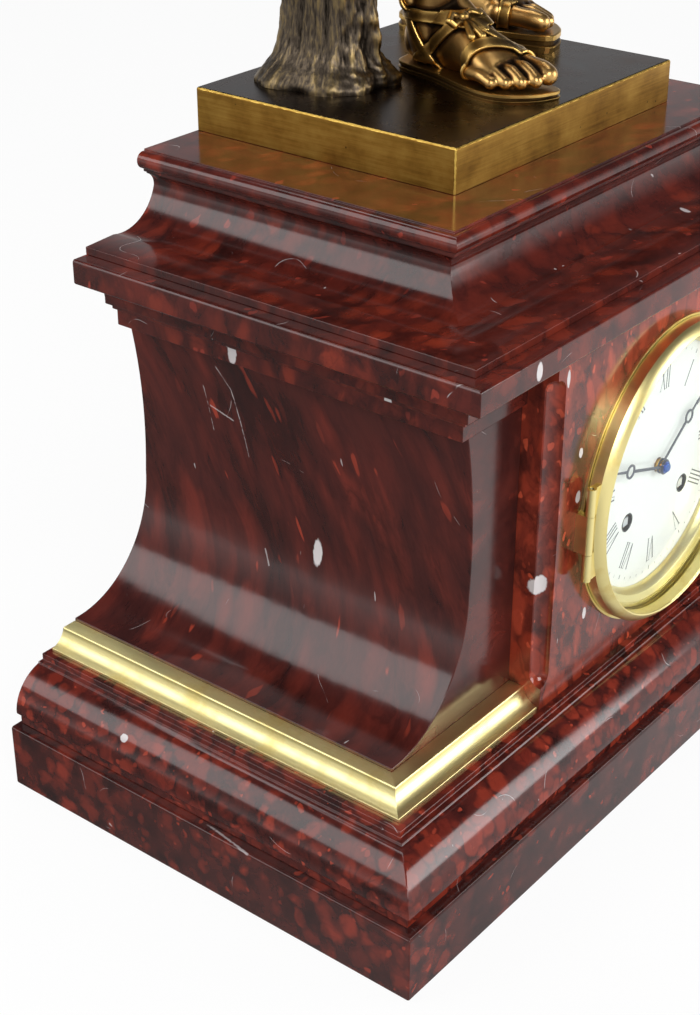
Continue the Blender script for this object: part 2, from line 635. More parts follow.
ink, tree = new_material("fired_black_paint")
thin = add(tree, "TexNoise", {"Vector": millimetres(tree), "Scale": 2.0, "Detail": 3.0}).outputs["Fac"]
strength = ramp(tree, thin, ((0.3, "#22242c"), (0.7, "#434854")))
painted = add(tree, "BsdfPrincipled", {"Base Color": strength, "Roughness": 0.3})
add(tree, "OutputMaterial", {"Surface": painted.outputs[0]})
print("enamel and paint ready")

# %% Numerals and minute marks
dial_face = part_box("dial")[0].y + 0.25 * MM
paint_lift = 0.04 * MM
paint_depth = 0.03 * MM
numeral_half = 6.0 * MM
numeral_middle = 43.2 * MM
minute_outer = 54.4 * MM
minute_inner = 53.2 * MM
five_minute_inner = 52.4 * MM
thick = 0.62 * MM
hairline = 0.22 * MM
letter_width = {"I": 1.9 * MM, "V": 4.6 * MM, "X": 4.6 * MM}


def stroke(shape, start, end, width, turn):
    """One flat painted bar between two points (across, out from the ring's middle) of an hour."""
    start, end = Vector(start), Vector(end)
    along = (end - start).normalized()
    aside = Vector((-along.y, along.x)) * width / 2
    corners = []
    for corner in (start + aside, start - aside, end - aside, end + aside):
        placed = Matrix.Rotation(-turn, 2) @ Vector((corner.x, corner.y + numeral_middle))
        corners.append(shape.verts.new((placed.x, dial_face - paint_lift, placed.y + dial_height_mm * MM)))
    shape.faces.new(corners)


def numeral(shape, text, turn):
    """A roman figure with serifs, centred on its hour."""
    half = numeral_half
    across = -sum(letter_width[letter] for letter in text) / 2
    for letter in text:
        width = letter_width[letter]
        left, centre, right = (across + share * width for share in (0.12, 0.5, 0.88))
        if letter == "I":
            bars = [((centre, -half), (centre, half), thick)]
            ends = ((centre, -half), (centre, half))
        elif letter == "V":
            bars = [((left, half), (centre, -half), thick), ((right, half), (centre, -half), hairline)]
            ends = ((left, half), (right, half))
        else:
            bars = [((left, half), (right, -half), thick), ((right, half), (left, -half), hairline)]
            ends = ((left, half), (right, half), (left, -half), (right, -half))
        for x, y in ends:
            bars.append(((x - thick, y), (x + thick, y), hairline))
        for start, end, weight in bars:
            stroke(shape, start, end, weight, turn)
        across += width


shape = bmesh.new()
for hour, text in enumerate(("XII", "I", "II", "III", "IIII", "V", "VI", "VII", "VIII", "IX", "X", "XI")):
    numeral(shape, text, math.radians(30 * hour))
for minute in range(60):
    inner, weight = (minute_inner, hairline) if minute % 5 else (five_minute_inner, 2 * hairline)
    stroke(shape, (0, inner - numeral_middle), (0, minute_outer - numeral_middle), weight,
           math.radians(6 * minute))
bmesh.ops.recalc_face_normals(shape, faces=shape.faces)
bmesh.ops.solidify(shape, geom=shape.faces[:], thickness=paint_depth)
numerals = in_scene("dial_numerals", as_mesh(shape, "dial_numerals"))
numerals.data.materials.append(ink)
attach(numerals, body_of["dial"])
print("painted bars:", len(numerals.data.polygons) // 6)

# %% [markdown]
# ## The glass
#
# A flat pane of window glass sits in the bezel. It bends light too little to be seen at this
# size, so its material lets rays straight through and adds a faint mirror on the outer side, as
# strong as the angle of view makes it. A refracting glass would look the same here, and would
# darken the dial, because light has to find its way in through two surfaces.

# %% Glass
pane_white = "#fbfdfc"
pane_ior = 1.35
glass, tree = new_material("thin_window_glass")
clear = add(tree, "BsdfTransparent", {"Color": linear(pane_white)})
shiny = add(tree, "BsdfGlossy", {"Color": linear("#ffffff"), "Roughness": 0.02})
facing = add(tree, "Fresnel", {"IOR": pane_ior}).outputs[0]
behind = add(tree, "NewGeometry").outputs["Backfacing"]
gloss = calc(tree, "MULTIPLY", facing, calc(tree, "SUBTRACT", 1.0, behind))
pane = add(tree, "MixShader", {0: gloss, 1: clear.outputs[0], 2: shiny.outputs[0]})
add(tree, "OutputMaterial", {"Surface": pane.outputs[0]})
coat(glass, "bezel_glass")
print("glass ready")

# %% [markdown]
# ## Patinated bronze
#
# The figure, its tree stump and its plinth are cast bronze with a brown patina, rubbed back to
# gold where hands and cloths have touched it. So the colour follows the relief: hollows stay
# nearly black, flat skin is warm brown and ridges are golden. Each sculpted mesh carries that
# relief as an attribute, measured from its own shape, and the material mixes three tones by it.

# %% Bronze finishes
def bronze(name, hollow, skin, ridge, roughness, grain=0.2, bump=0.25, stretch=(1, 1, 1), blotch=0.35):
    """Cast bronze whose tone follows the mesh's own relief attribute."""
    material, tree = new_material(name)
    place = millimetres(tree, stretch=stretch)
    height = add(tree, "Attribute", attribute_name="relief").outputs["Fac"]
    cloud = add(tree, "TexNoise", {"Vector": place, "Scale": 0.09, "Detail": 6.0, "Roughness": 0.65})
    fine = add(tree, "TexNoise", {"Vector": place, "Scale": 1.1, "Detail": 4.0, "Roughness": 0.6})
    cloud, fine = (calc(tree, "SUBTRACT", pattern.outputs["Fac"], 0.5) for pattern in (cloud, fine))
    level = calc(tree, "ADD", height, calc(tree, "MULTIPLY", cloud, blotch))
    level = calc(tree, "ADD", level, calc(tree, "MULTIPLY", fine, grain))
    tone = ramp(tree, level, ((0.3, hollow), (0.5, skin), (0.72, ridge)))
    dull = soft_step(tree, level, 0.62, 0.3)
    rough = calc(tree, "ADD", roughness, calc(tree, "MULTIPLY", dull, 0.22))
    rough = calc(tree, "ADD", rough, calc(tree, "MULTIPLY", fine, 0.12))
    cast_skin = add(tree, "Bump", {"Height": fine, "Strength": bump, "Distance": 0.0004})
    surface = add(tree, "BsdfPrincipled", {"Base Color": tone, "Metallic": 1.0, "Roughness": rough,
                                           "Normal": cast_skin.outputs[0]})
    add(tree, "OutputMaterial", {"Surface": surface.outputs[0]})
    return material


skin_bronze = bronze("brown_patinated_bronze", "#1b130c", "#5f4226", "#c9a062", 0.34, grain=0.05,
                     bump=0.06, blotch=0.22)
cloth_bronze = bronze("dark_patinated_bronze", "#17110c", "#49331d", "#a9854a", 0.38, grain=0.08,
                      bump=0.12, blotch=0.25)
hair_bronze = bronze("dark_chased_bronze", "#130e0a", "#392817", "#9d7940", 0.4, grain=0.1, bump=0.12)
strap_bronze = bronze("rubbed_bronze", "#22180e", "#6e522b", "#d4ad63", 0.33, grain=0.06, bump=0.08,
                      blotch=0.22)
bark_bronze = bronze("bark_bronze", "#211c17", "#564c41", "#8f7a52", 0.36, grain=0.4, bump=0.4,
                     stretch=(1, 1, 0.25), blotch=0.4)
print("five bronze finishes ready")

# %% [markdown]
# ## How the figure is modelled
#
# Bronze is cast from wax that was modelled by hand. Here balls, tapering rods and forms lofted
# through ovals are overlapped, and one smooth skin is wrapped round them with a voxel Remesh and a
# Smooth modifier. Joining the forms with Booleans would leave a sharp seam at each joint, where
# wax would be smoothed with a finger. Folds are then pushed into the skin along its normals.

# %% Simple forms
def at(x, y, z):
    """A place given in millimetres."""
    return Vector((x, y, z)) * MM


def blob(shape, middle, half, fineness=3):
    """A ball stretched to three half sizes, in millimetres."""
    matrix = Matrix.Translation(at(*middle)) @ Matrix.Diagonal((*half, 1))
    bmesh.ops.create_icosphere(shape, subdivisions=fineness, radius=MM, matrix=matrix)


def bone(shape, points, sides=16):
    """A chain of tapering rods with round joints, from places and radii in millimetres."""
    for x, y, z, radius in points:
        blob(shape, (x, y, z), (radius,) * 3, fineness=2)
    for first, last in zip(points, points[1:]):
        start, end = at(*first[:3]), at(*last[:3])
        way = end - start
        matrix = Matrix.Translation((start + end) / 2) @ way.to_track_quat("Z", "Y").to_matrix().to_4x4()
        bmesh.ops.create_cone(shape, cap_ends=True, segments=sides, radius1=first[3] * MM,
                              radius2=last[3] * MM, depth=way.length, matrix=matrix)


def loft(shape, rings, facing=None, sides=40):
    """A closed form through ovals: each has its middle and two half sizes, in millimetres."""
    spin = facing or Matrix.Identity(4)
    loops = []
    for x, y, z, half_x, half_y in rings:
        matrix = Matrix.Translation(at(x, y, z)) @ spin @ Matrix.Diagonal((half_x, half_y, 1, 1))
        made = set(bmesh.ops.create_circle(shape, segments=sides, radius=MM, matrix=matrix)["verts"])
        loops.append([line for line in shape.edges if line.verts[0] in made])
    for first, last in zip(loops, loops[1:]):
        bmesh.ops.bridge_loops(shape, edges=first + last)
    bmesh.ops.holes_fill(shape, edges=loops[0] + loops[-1], sides=0)


def smooth_rows(rows, parts):
    """More rows between the given ones, on smooth curves through them."""
    out = []
    for index in range(len(rows) - 1):
        near = [rows[max(index - 1, 0)], rows[index], rows[index + 1], rows[min(index + 2, len(rows) - 1)]]
        for step in range(parts):
            t = step / parts
            weights = (-0.5 * t + t ** 2 - 0.5 * t ** 3, 1 - 2.5 * t ** 2 + 1.5 * t ** 3,
                       0.5 * t + 2 * t ** 2 - 1.5 * t ** 3, -0.5 * t ** 2 + 0.5 * t ** 3)
            out.append(tuple(sum(weight * row[item] for weight, row in zip(weights, near))
                             for item in range(len(rows[0]))))
    return out + [tuple(rows[-1])]


print("balls, rods and lofts ready")

# %% One skin
def fused(shape, voxel, rounds):
    """One smooth skin over overlapping forms, as a mesh; the voxel is in millimetres."""
    bmesh.ops.recalc_face_normals(shape, faces=shape.faces)
    forms = in_scene("forms", as_mesh(shape, "forms"))
    skin = forms.modifiers.new("skin", "REMESH")
    skin.mode = "VOXEL"
    skin.voxel_size = voxel * MM
    calm = forms.modifiers.new("calm", "SMOOTH")
    calm.factor = 0.5
    calm.iterations = rounds
    result = bpy.data.meshes.new_from_object(forms.evaluated_get(bpy.context.evaluated_depsgraph_get()))
    bpy.data.objects.remove(forms)
    return result


def moved_points(mesh, move):
    """Push each point of a mesh along its normal by a distance in millimetres."""
    normals = [vert.normal.copy() for vert in mesh.vertices]
    for vert, normal in zip(mesh.vertices, normals):
        vert.co += normal * move(vert.co / MM, normal) * MM
    mesh.update()


def grow(shape, ring, centre, scale, rise):
    """Extrude a ring of edges upwards, scaled about an upright line, and give the new ring."""
    grown = bmesh.ops.extrude_edge_only(shape, edges=ring)["geom"]
    points = [item for item in grown if isinstance(item, bmesh.types.BMVert)]
    bmesh.ops.scale(shape, vec=(scale, scale, 1), space=Matrix.Translation(-centre), verts=points)
    bmesh.ops.translate(shape, vec=(0, 0, rise), verts=points)
    return [item for item in grown if isinstance(item, bmesh.types.BMEdge)]


print("skins and walls ready")

# %% Relief and casting
def with_relief(mesh, scale, rounds=14):
    """Store how far each point stands out of its surroundings, from 0 to 1, as an attribute."""
    count = len(mesh.vertices)
    places = numpy.empty(count * 3)
    mesh.vertices.foreach_get("co", places)
    places = places.reshape(count, 3)
    normals = numpy.array([tuple(entry.vector) for entry in mesh.vertex_normals])
    ends = numpy.empty(len(mesh.edges) * 2, dtype=int)
    mesh.edges.foreach_get("vertices", ends)
    first, last = ends[0::2], ends[1::2]
    links = numpy.maximum(numpy.bincount(ends, minlength=count), 1)
    calm = places.copy()
    for _ in range(rounds):
        total = numpy.zeros_like(calm)
        for axis in range(3):
            total[:, axis] = (numpy.bincount(first, weights=calm[last, axis], minlength=count)
                              + numpy.bincount(last, weights=calm[first, axis], minlength=count))
        calm = total / links[:, None]
    height = ((places - calm) * normals).sum(axis=1) / (scale * MM)
    if "relief" in mesh.attributes:
        mesh.attributes.remove(mesh.attributes["relief"])
    store = mesh.attributes.new("relief", "FLOAT", "POINT")
    store.data.foreach_set("value", numpy.clip(0.5 + height / 2, 0, 1))


def cast(name, mesh, material, *nodes_replaced, smooth=True):
    """Turn a mesh into a piece of the casting that rides on the case."""
    mesh.name = name
    mesh.materials.clear()
    mesh.materials.append(material)
    mesh.polygons.foreach_set("use_smooth", [smooth] * len(mesh.polygons))
    piece = in_scene(name, mesh)
    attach(piece, body_of["bronze_plinth"])
    if nodes_replaced:
        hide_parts(*nodes_replaced)
    print(name, len(mesh.polygons), "faces")


print("relief and casting ready")

# %% [markdown]
# ## The bronze plinth
#
# The plinth was cast with the figure. Its top has the figure's dark patina, polished by dusting,
# and its sides were filed and lacquered a satin gold, with small dark casting pits. All its
# edges are rubbed bright. So the material tells the top, the sides and the edges apart by how far
# a point is from the plinth's own faces.

# %% Plinth
def away_from(tree, value, edge):
    """Distance of a coordinate, in millimetres, from an edge's place."""
    return calc(tree, "ABSOLUTE", calc(tree, "SUBTRACT", value, edge))


plinth_low, plinth_high = (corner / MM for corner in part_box("bronze_plinth"))
plinth_top = round(plinth_high.z, 3)
side_rough = (0.42, 0.42, 0.42, 1)
top_rough = (0.27, 0.27, 0.27, 1)

plinth_bronze, tree = new_material("filed_and_patinated_bronze")
place = millimetres(tree)
x, y, z = add(tree, "SeparateXYZ", {0: place}).outputs
near_x = calc(tree, "MINIMUM", away_from(tree, x, plinth_low.x), away_from(tree, x, plinth_high.x))
near_y = calc(tree, "MINIMUM", away_from(tree, y, plinth_low.y), away_from(tree, y, plinth_high.y))
near_z = away_from(tree, z, plinth_high.z)
rub = add(tree, "TexNoise", {"Vector": place, "Scale": 0.35, "Detail": 4.0}).outputs["Fac"]
reach = calc(tree, "ADD", 0.1, calc(tree, "MULTIPLY", rub, 1.2))
rim = calc(tree, "MAXIMUM", near_z, calc(tree, "MINIMUM", near_x, near_y))
corner = calc(tree, "MAXIMUM", near_x, near_y)
rubbed = calc(tree, "LESS_THAN", calc(tree, "MINIMUM", rim, corner), reach)
on_top = soft_step(tree, near_z, 0.35, 0.1)

line = add(tree, "Mapping", {"Vector": place, "Scale": (0.03, 0.03, 0.9)}).outputs[0]
filed = add(tree, "TexNoise", {"Vector": line, "Scale": 1.0, "Detail": 4.0, "Roughness": 0.7})
cloud = add(tree, "TexNoise", {"Vector": place, "Scale": 0.045, "Detail": 6.0, "Roughness": 0.65})
fine = add(tree, "TexNoise", {"Vector": place, "Scale": 0.6, "Detail": 5.0, "Roughness": 0.7})
filed, cloud, fine = (pattern.outputs["Fac"] for pattern in (filed, cloud, fine))
pits = add(tree, "TexVoronoi", {"Vector": place, "Scale": 0.11}).outputs["Distance"]
pit = soft_step(tree, pits, 0.075, 0.03)
side_level = calc(tree, "ADD", calc(tree, "MULTIPLY", cloud, 0.6), calc(tree, "MULTIPLY", filed, 0.4))
side_tone = ramp(tree, side_level, ((0.36, "#74511f"), (0.5, "#97702f"), (0.64, "#ad8740")))
side_tone = mixed(tree, calc(tree, "MULTIPLY", pit, 0.75), side_tone, linear("#2c1d0d"))
top_level = calc(tree, "ADD", calc(tree, "MULTIPLY", cloud, 0.6), calc(tree, "MULTIPLY", fine, 0.4))
top_tone = ramp(tree, top_level, ((0.38, "#1c120e"), (0.52, "#33211a"), (0.68, "#4c3326")))
tone = mixed(tree, rubbed, mixed(tree, on_top, side_tone, top_tone), linear("#dcb75c"))
patchy = calc(tree, "MULTIPLY", calc(tree, "SUBTRACT", cloud, 0.5), 0.2)
rough = calc(tree, "ADD", mixed(tree, on_top, side_rough, top_rough), patchy)
ridges = add(tree, "Bump", {"Height": calc(tree, "SUBTRACT", cloud, pit), "Strength": 0.1,
                            "Distance": 0.0006})
surface = add(tree, "BsdfPrincipled", {"Base Color": tone, "Metallic": 1.0, "Roughness": rough,
                                       "Normal": ridges.outputs[0]})
add(tree, "OutputMaterial", {"Surface": surface.outputs[0]})
finished_copy("bronze_plinth", plinth_bronze)

# %% [markdown]
# ## The tree stump
#
# A stump beside the leg steadies a standing figure. Its bark is chased in long upright fibres, it
# spreads into a root flare with a thin rubbed rim, and the saw cut on top has rings. It starts as
# one circle that is extruded upwards many times, and then every point is pushed out by noise that
# is stretched along the trunk. A displacement texture could do it too, but noise in code lets the
# fibres part round the knots.

# %% Bark
stump_place = (-37.0, 75.0)
stump_rows = smooth_rows([(0.0, 30.2), (2.5, 30.0), (6.0, 27.6), (11.0, 23.6), (20.0, 20.6), (40.0, 19.4),
                          (90.0, 19.2), (150.0, 18.6), (205.0, 16.8), (228.0, 16.6), (235.0, 15.8)], parts=13)
stump_tall, cut_radius = stump_rows[-1]
knot_height = 2.6
knots = ((-52.0, 60.0, 80.0, 9.0), (-22.0, 62.0, 128.0, 8.0), (-50.0, 88.0, 165.0, 8.0),
         (-20.0, 86.0, 60.0, 8.0))


def bark(place):
    """How far the bark stands out at a place, in millimetres."""
    x, y, z = place.x - stump_place[0], place.y - stump_place[1], place.z - plinth_top
    turn = math.atan2(y, x)
    twist = turn + 0.0012 * z
    lobes = 1.3 * math.sin(3 * twist + 0.6) + 0.9 * math.sin(5 * twist + 2.1) + 0.5 * math.sin(8 * twist)
    across, ahead = math.cos(twist), math.sin(twist)
    wide = noise.noise(Vector((across * 5, ahead * 5, z * 0.03)))
    fibre = noise.noise(Vector((across * 15, ahead * 15, z * 0.09))) * 0.5
    fine = noise.noise(Vector((across * 38, ahead * 38, z * 0.3))) * 0.5
    rubbed_side = max(math.cos(turn + 0.75), 0) ** 0.6
    tall = Vector((place.x, place.y, place.z * 0.55))
    scaly = (noise.noise(tall * 0.19) * 2.2 + noise.noise(tall * 0.4)) * (0.12 + rubbed_side)
    knob = sum(knot_height * math.exp(-((place.x - a) ** 2 + (place.y - b) ** 2 + (z - c) ** 2) / d ** 2)
               for a, b, c, d in knots)
    foot = math.exp(-z / 9)
    roots = foot * (1.6 * math.sin(5 * turn + 0.4) + 1.1 * math.sin(9 * turn))
    return lobes + wide + fibre * (1 - 0.5 * foot) + fine + scaly + knob + roots


print("stump:", stump_tall, "mm tall with", len(knots), "knots")

# %% Stump
stump_sides = 230
saw_rings = 8
ring_spacing = cut_radius * 0.07
hair_breadth = 0.01
bend_way = Vector((0.62, -0.78, 0))

shape = bmesh.new()
stump_foot = Matrix.Translation(at(*stump_place, plinth_top))
bmesh.ops.create_circle(shape, segments=stump_sides, radius=stump_rows[0][1] * MM, matrix=stump_foot)
ring = shape.edges[:]
bmesh.ops.holes_fill(shape, edges=ring, sides=0)
for (low, before), (high, radius) in zip(stump_rows, stump_rows[1:]):
    ring = grow(shape, ring, at(*stump_place, 0), radius / before, (high - low) * MM)
lid = bmesh.ops.holes_fill(shape, edges=ring, sides=0)["faces"]
for _ in range(saw_rings):
    bmesh.ops.inset_region(shape, faces=lid, thickness=ring_spacing * MM, use_even_offset=True)
    lid = [face for face in shape.faces if len(face.verts) == stump_sides
           and face.calc_center_median().z > (plinth_top + stump_tall / 2) * MM]
bmesh.ops.recalc_face_normals(shape, faces=shape.faces)
for vert in shape.verts:
    place = vert.co / MM
    out = Vector((place.x - stump_place[0], place.y - stump_place[1], 0))
    above = place.z - plinth_top
    if above > stump_tall - 0.1 and out.length < cut_radius * 0.97:
        vert.co.z += (0.35 * math.sin(out.length * 2.2) + noise.noise(place * 0.25) * 0.5) * MM
    else:
        vert.co += out.normalized() * bark(place) * MM
        if above > hair_breadth:
            vert.co.z += noise.noise(place * 0.08) * 0.4 * MM
    share = above / stump_tall
    vert.co += bend_way * (min(share / 0.15, 1) * (1 - share) * 2.6 + (1 - share) * 1.6) * MM
mesh = as_mesh(shape, "stump")
with_relief(mesh, 1.5)
cast("tree_stump_bark", mesh, bark_bronze, "tree_stump")

# %% [markdown]
# ## Legs and sandalled feet
#
# Each leg is a loft through ovals, with a heel, two ankle bones, five toes and the cords over the
# instep, under one skin. The straps of the sandal have to lie tight on the foot, so each is a slice
# of that same skin between two planes, thickened outwards. A strap modelled by itself would float
# over the hollows of the foot or sink into its bones.

# %% Shapes of the leg and the foot
foot_length = 82.0
feet = {
    "right": dict(heel=(3.5, 60.0), toe_out=10.5, sole=4.2, node="right_leg",
                  leg=[(0.014, -0.0335, -0.040, 0.0165, 0.022), (0.034, -0.034, -0.036, 0.0185, 0.0245),
                       (0.054, -0.034, -0.035, 0.0175, 0.0235), (0.075, -0.034, -0.037, 0.0175, 0.0235),
                       (0.105, -0.034, -0.036, 0.020, 0.025), (0.144, -0.033, -0.029, 0.026, 0.031),
                       (0.185, -0.0325, -0.022, 0.0325, 0.037), (0.215, -0.031, -0.021, 0.0335, 0.0375),
                       (0.250, -0.029, -0.022, 0.030, 0.0345), (0.278, -0.028, -0.026, 0.0295, 0.034),
                       (0.300, -0.028, -0.027, 0.031, 0.0365), (0.325, -0.029, -0.021, 0.034, 0.038),
                       (0.362, -0.031, -0.013, 0.037, 0.041), (0.400, -0.031, -0.010, 0.040, 0.044)]),
    "left": dict(heel=(57.0, 104.0), toe_out=-7.5, sole=8.0, node="left_leg",
                 leg=[(0.022, 0.0825, 0.040, 0.0165, 0.022), (0.042, 0.083, 0.043, 0.0185, 0.0245),
                      (0.062, 0.083, 0.042, 0.0175, 0.0235), (0.080, 0.083, 0.040, 0.0175, 0.0235),
                      (0.110, 0.082, 0.038, 0.020, 0.025), (0.150, 0.079, 0.034, 0.026, 0.031),
                      (0.190, 0.075, 0.029, 0.0325, 0.0365), (0.220, 0.071, 0.024, 0.0335, 0.037),
                      (0.254, 0.067, 0.014, 0.030, 0.0345), (0.280, 0.064, 0.005, 0.0295, 0.034),
                      (0.302, 0.062, 0.001, 0.031, 0.0365), (0.328, 0.059, 0.002, 0.034, 0.038),
                      (0.362, 0.055, 0.002, 0.038, 0.042), (0.400, 0.050, 0.002, 0.040, 0.044)]),
}
figure_height = 520.0
pelvis = (17.0, 62.0)
sole_rows = [(0, 0), (0.07, 0.12), (0.35, 0.145), (0.65, 0.205), (0.86, 0.195), (0.98, 0.09),
             (1.03, -0.03), (1.0, -0.14), (0.7, -0.175), (0.4, -0.13), (0.08, -0.12)]
body_rows = [(0.02, 0, 0.10, 0.045, 0.075), (0.08, 0, 0.13, 0.092, 0.13), (0.2, 0, 0.165, 0.105, 0.175),
             (0.32, -0.005, 0.165, 0.11, 0.185), (0.45, -0.012, 0.145, 0.125, 0.155),
             (0.58, -0.005, 0.12, 0.15, 0.12), (0.70, 0.0, 0.092, 0.168, 0.092),
             (0.79, 0.005, 0.072, 0.16, 0.066)]
toe_rows = [((0.70, -0.11, 0.085, 0.056), (0.84, -0.118, 0.078, 0.050), (0.905, -0.115, 0.072, 0.053),
             (0.955, -0.106, 0.062, 0.050)),
            ((0.74, -0.025, 0.085, 0.040), (0.86, -0.028, 0.092, 0.035), (0.92, -0.022, 0.070, 0.033),
             (0.955, -0.016, 0.048, 0.036)),
            ((0.73, 0.045, 0.080, 0.038), (0.835, 0.05, 0.086, 0.033), (0.89, 0.055, 0.064, 0.031),
             (0.92, 0.058, 0.045, 0.034)),
            ((0.70, 0.105, 0.072, 0.036), (0.79, 0.115, 0.078, 0.031), (0.84, 0.118, 0.058, 0.029),
             (0.868, 0.118, 0.042, 0.032)),
            ((0.65, 0.155, 0.062, 0.034), (0.735, 0.168, 0.064, 0.030), (0.785, 0.168, 0.048, 0.028),
             (0.81, 0.166, 0.038, 0.031))]
toe_plumpness = 1.1
ankle_bones = ((0.13, 0.1, 0.335, 0.05), (0.155, -0.1, 0.365, 0.052))
ball_of_foot = (0.68, -0.12, 0.09, 0.07)
foot_cords = (((0.06, 0, 0.2, 4.2), (0.035, 0, 0.55, 3.4)),
              ((0.3, -0.04, 0.36, 4.5), (0.62, -0.08, 0.14, 4.0)))


def body_rows_mm(rows):
    """Ovals given as shares of the figure's height from the pelvis, in millimetres."""
    return [(pelvis[0] + x * figure_height, pelvis[1] + y * figure_height, plinth_top + z * figure_height,
             half_x * figure_height, half_y * figure_height) for z, x, y, half_x, half_y in rows]


print("figure height:", figure_height, "mm, foot length:", foot_length, "mm")

# %% Skin of the leg and the foot
def foot_frame(side):
    """A function from shares along, across and above the foot to millimetres."""
    foot = feet[side]
    turn = math.radians(foot["toe_out"])
    outward = 1 if foot["toe_out"] > 0 else -1
    ahead = Vector((-math.sin(turn), -math.cos(turn), 0))
    aside = Vector((-math.cos(turn), math.sin(turn), 0)) * outward
    start = Vector((*foot["heel"], plinth_top + foot["sole"]))

    def place(along, across, up):
        return start + (ahead * along + aside * across + Vector((0, 0, up))) * foot_length
    return place, ahead, aside


def foot_and_leg(side):
    """The skin of one foot and leg, as a mesh."""
    place, ahead, aside = foot_frame(side)
    shape = bmesh.new()
    level = Matrix((aside, Vector((0, 0, 1)), -ahead)).transposed().to_4x4()
    rows = []
    for along, across, up, half, height in smooth_rows(body_rows, 3):
        rows.append((*place(along, across, up), half * foot_length, height * foot_length))
    loft(shape, rows, facing=level)
    loft(shape, smooth_rows(body_rows_mm(feet[side]["leg"]), 3))
    for toe in toe_rows:
        bone(shape, [(*place(along, across, up), radius * toe_plumpness * foot_length)
                     for along, across, up, radius in toe])
    for along, across, up, half in (*ankle_bones, ball_of_foot):
        blob(shape, place(along, across, up), (half * foot_length,) * 3)
    for cord in foot_cords:
        bone(shape, [(*place(along, across, up), radius) for along, across, up, radius in cord])
    mesh = fused(shape, 0.75, rounds=5)
    flat_under = (plinth_top + feet[side]["sole"] - 0.2) * MM
    for vert in mesh.vertices:
        vert.co.z = max(vert.co.z, flat_under)
    return mesh


print("skins of two feet ready to wrap")

# %% Sandal straps
strap_thickness = 1.5
strap_lift = 0.15
sandal_tall = 52
knot_shares = (0.47, 0.05, 0.275)


def slice_of(mesh, cuts):
    """The part of a skin on the inner side of each plane, thickened into a strap."""
    shape = bmesh.new()
    shape.from_mesh(mesh)
    for point, normal in cuts:
        bmesh.ops.bisect_plane(shape, geom=shape.verts[:] + shape.edges[:] + shape.faces[:], dist=1e-7,
                               plane_co=point * MM, plane_no=normal, clear_outer=True)
    loose = [vert for vert in shape.verts if not vert.link_faces]
    bmesh.ops.delete(shape, geom=loose, context="VERTS")
    for vert in shape.verts:
        vert.co += vert.normal * strap_lift * MM
    bmesh.ops.solidify(shape, geom=shape.faces[:], thickness=-strap_thickness * MM)
    bmesh.ops.recalc_face_normals(shape, faces=shape.faces)
    return as_mesh(shape, "strap")


def strap_cuts(first, second, third, width):
    """Two planes a strap's width apart, through three places."""
    normal = (second - first).cross(third - first).normalized()
    return [(first + normal * width / 2, normal), (first - normal * width / 2, -normal)]


def darken_beside(mesh, cuts, ends, reach=2.2, depth=0.34):
    """Lower the relief beside a strap, where patina gathers and no cloth rubs it away."""
    (over, normal), (under, _) = cuts
    centre = (over + under) / 2
    half = (over - under).length / 2
    relief = mesh.attributes["relief"].data
    for vert in mesh.vertices:
        place = vert.co / MM
        if place.z > plinth_top + sandal_tall or any((place - point).dot(way) > 0.5 for point, way in ends):
            continue
        gap = abs((place - centre).dot(normal)) - half
        if gap < reach:
            relief[vert.index].value -= depth * min(1 - gap / reach, 1)


def strap_planes(place, ahead, aside):
    """For each strap the two planes of its edges, and the planes where it ends."""
    up = Vector((0, 0, 1))
    knot = place(*knot_shares)
    return {
        "heel": (strap_cuts(knot, place(0.0, 0.1, 0.27), place(0.0, -0.1, 0.27), 5.2), []),
        "instep": (strap_cuts(knot, place(0.22, 0.2, 0.05), place(0.22, -0.2, 0.05), 4.6), []),
        "ankle": (strap_cuts(place(0.30, 0, 0.46), place(0.0, 0.1, 0.44), place(0.0, -0.1, 0.44), 4.2), []),
        "toe": (strap_cuts(place(0.70, -0.02, 0.2), place(0.58, 0.2, 0.03), place(0.76, -0.2, 0.05), 5.4),
                []),
        "middle": (strap_cuts(knot, place(0.72, -0.07, 0.2), place(0.72, -0.07, 0.0), 4.2),
                   [(place(0.47, 0, 0.3), -ahead), (place(0.78, 0, 0.1), ahead), (place(0.5, 0, 0.10), -up)]),
        "side": (strap_cuts(place(0.14, 0.1, 0.26), place(0.30, 0.2, 0.02), place(0.30, -0.3, 0.02), 4.0),
                 [(place(0.2, 0.03, 0.1), -aside)]),
    }


print("strap thickness:", strap_thickness, "mm")

# %% Bows and soles
bow_lift = 1.2
sole_steps = ((0.3, 1.012), (0.36, 1.012), (0.42, 0.985), (0.64, 0.985), (0.70, 1.008), (0.96, 1.008),
              (1.0, 0.99))


def bow(side):
    """Two loops, a knot and three hanging ends, tied where the straps cross, as a mesh."""
    place, ahead, aside = foot_frame(side)
    up = Vector((0, 0, 1))
    centre = place(*knot_shares) + up * bow_lift
    shape = bmesh.new()
    for reach in (9.5, -9.0):
        out = aside * reach
        bone(shape, [(*centre, 1.5), (*(centre + out * 0.55 + up * 2.2 - ahead * 1.5), 1.5),
                     (*(centre + out + up * 0.8 + ahead * 1.5), 1.6),
                     (*(centre + out * 0.75 - up * 1.4 + ahead * 2.5), 1.5), (*centre, 1.3)])
    blob(shape, centre + up * 0.8, (3.1, 3.0, 2.6))
    for spread, reach, fall in ((4.5, 10.5, 5.2), (0.0, 12.5, 5.2), (-4.5, 10.0, 4.0)):
        tip = centre + aside * spread + ahead * reach - up * fall
        bone(shape, [(*centre, 1.2), (*((centre + tip) / 2 + up * 0.9), 1.25), (*tip, 1.75)])
    mesh = fused(shape, 0.42, rounds=3)
    with_relief(mesh, 0.7, rounds=12)
    return mesh


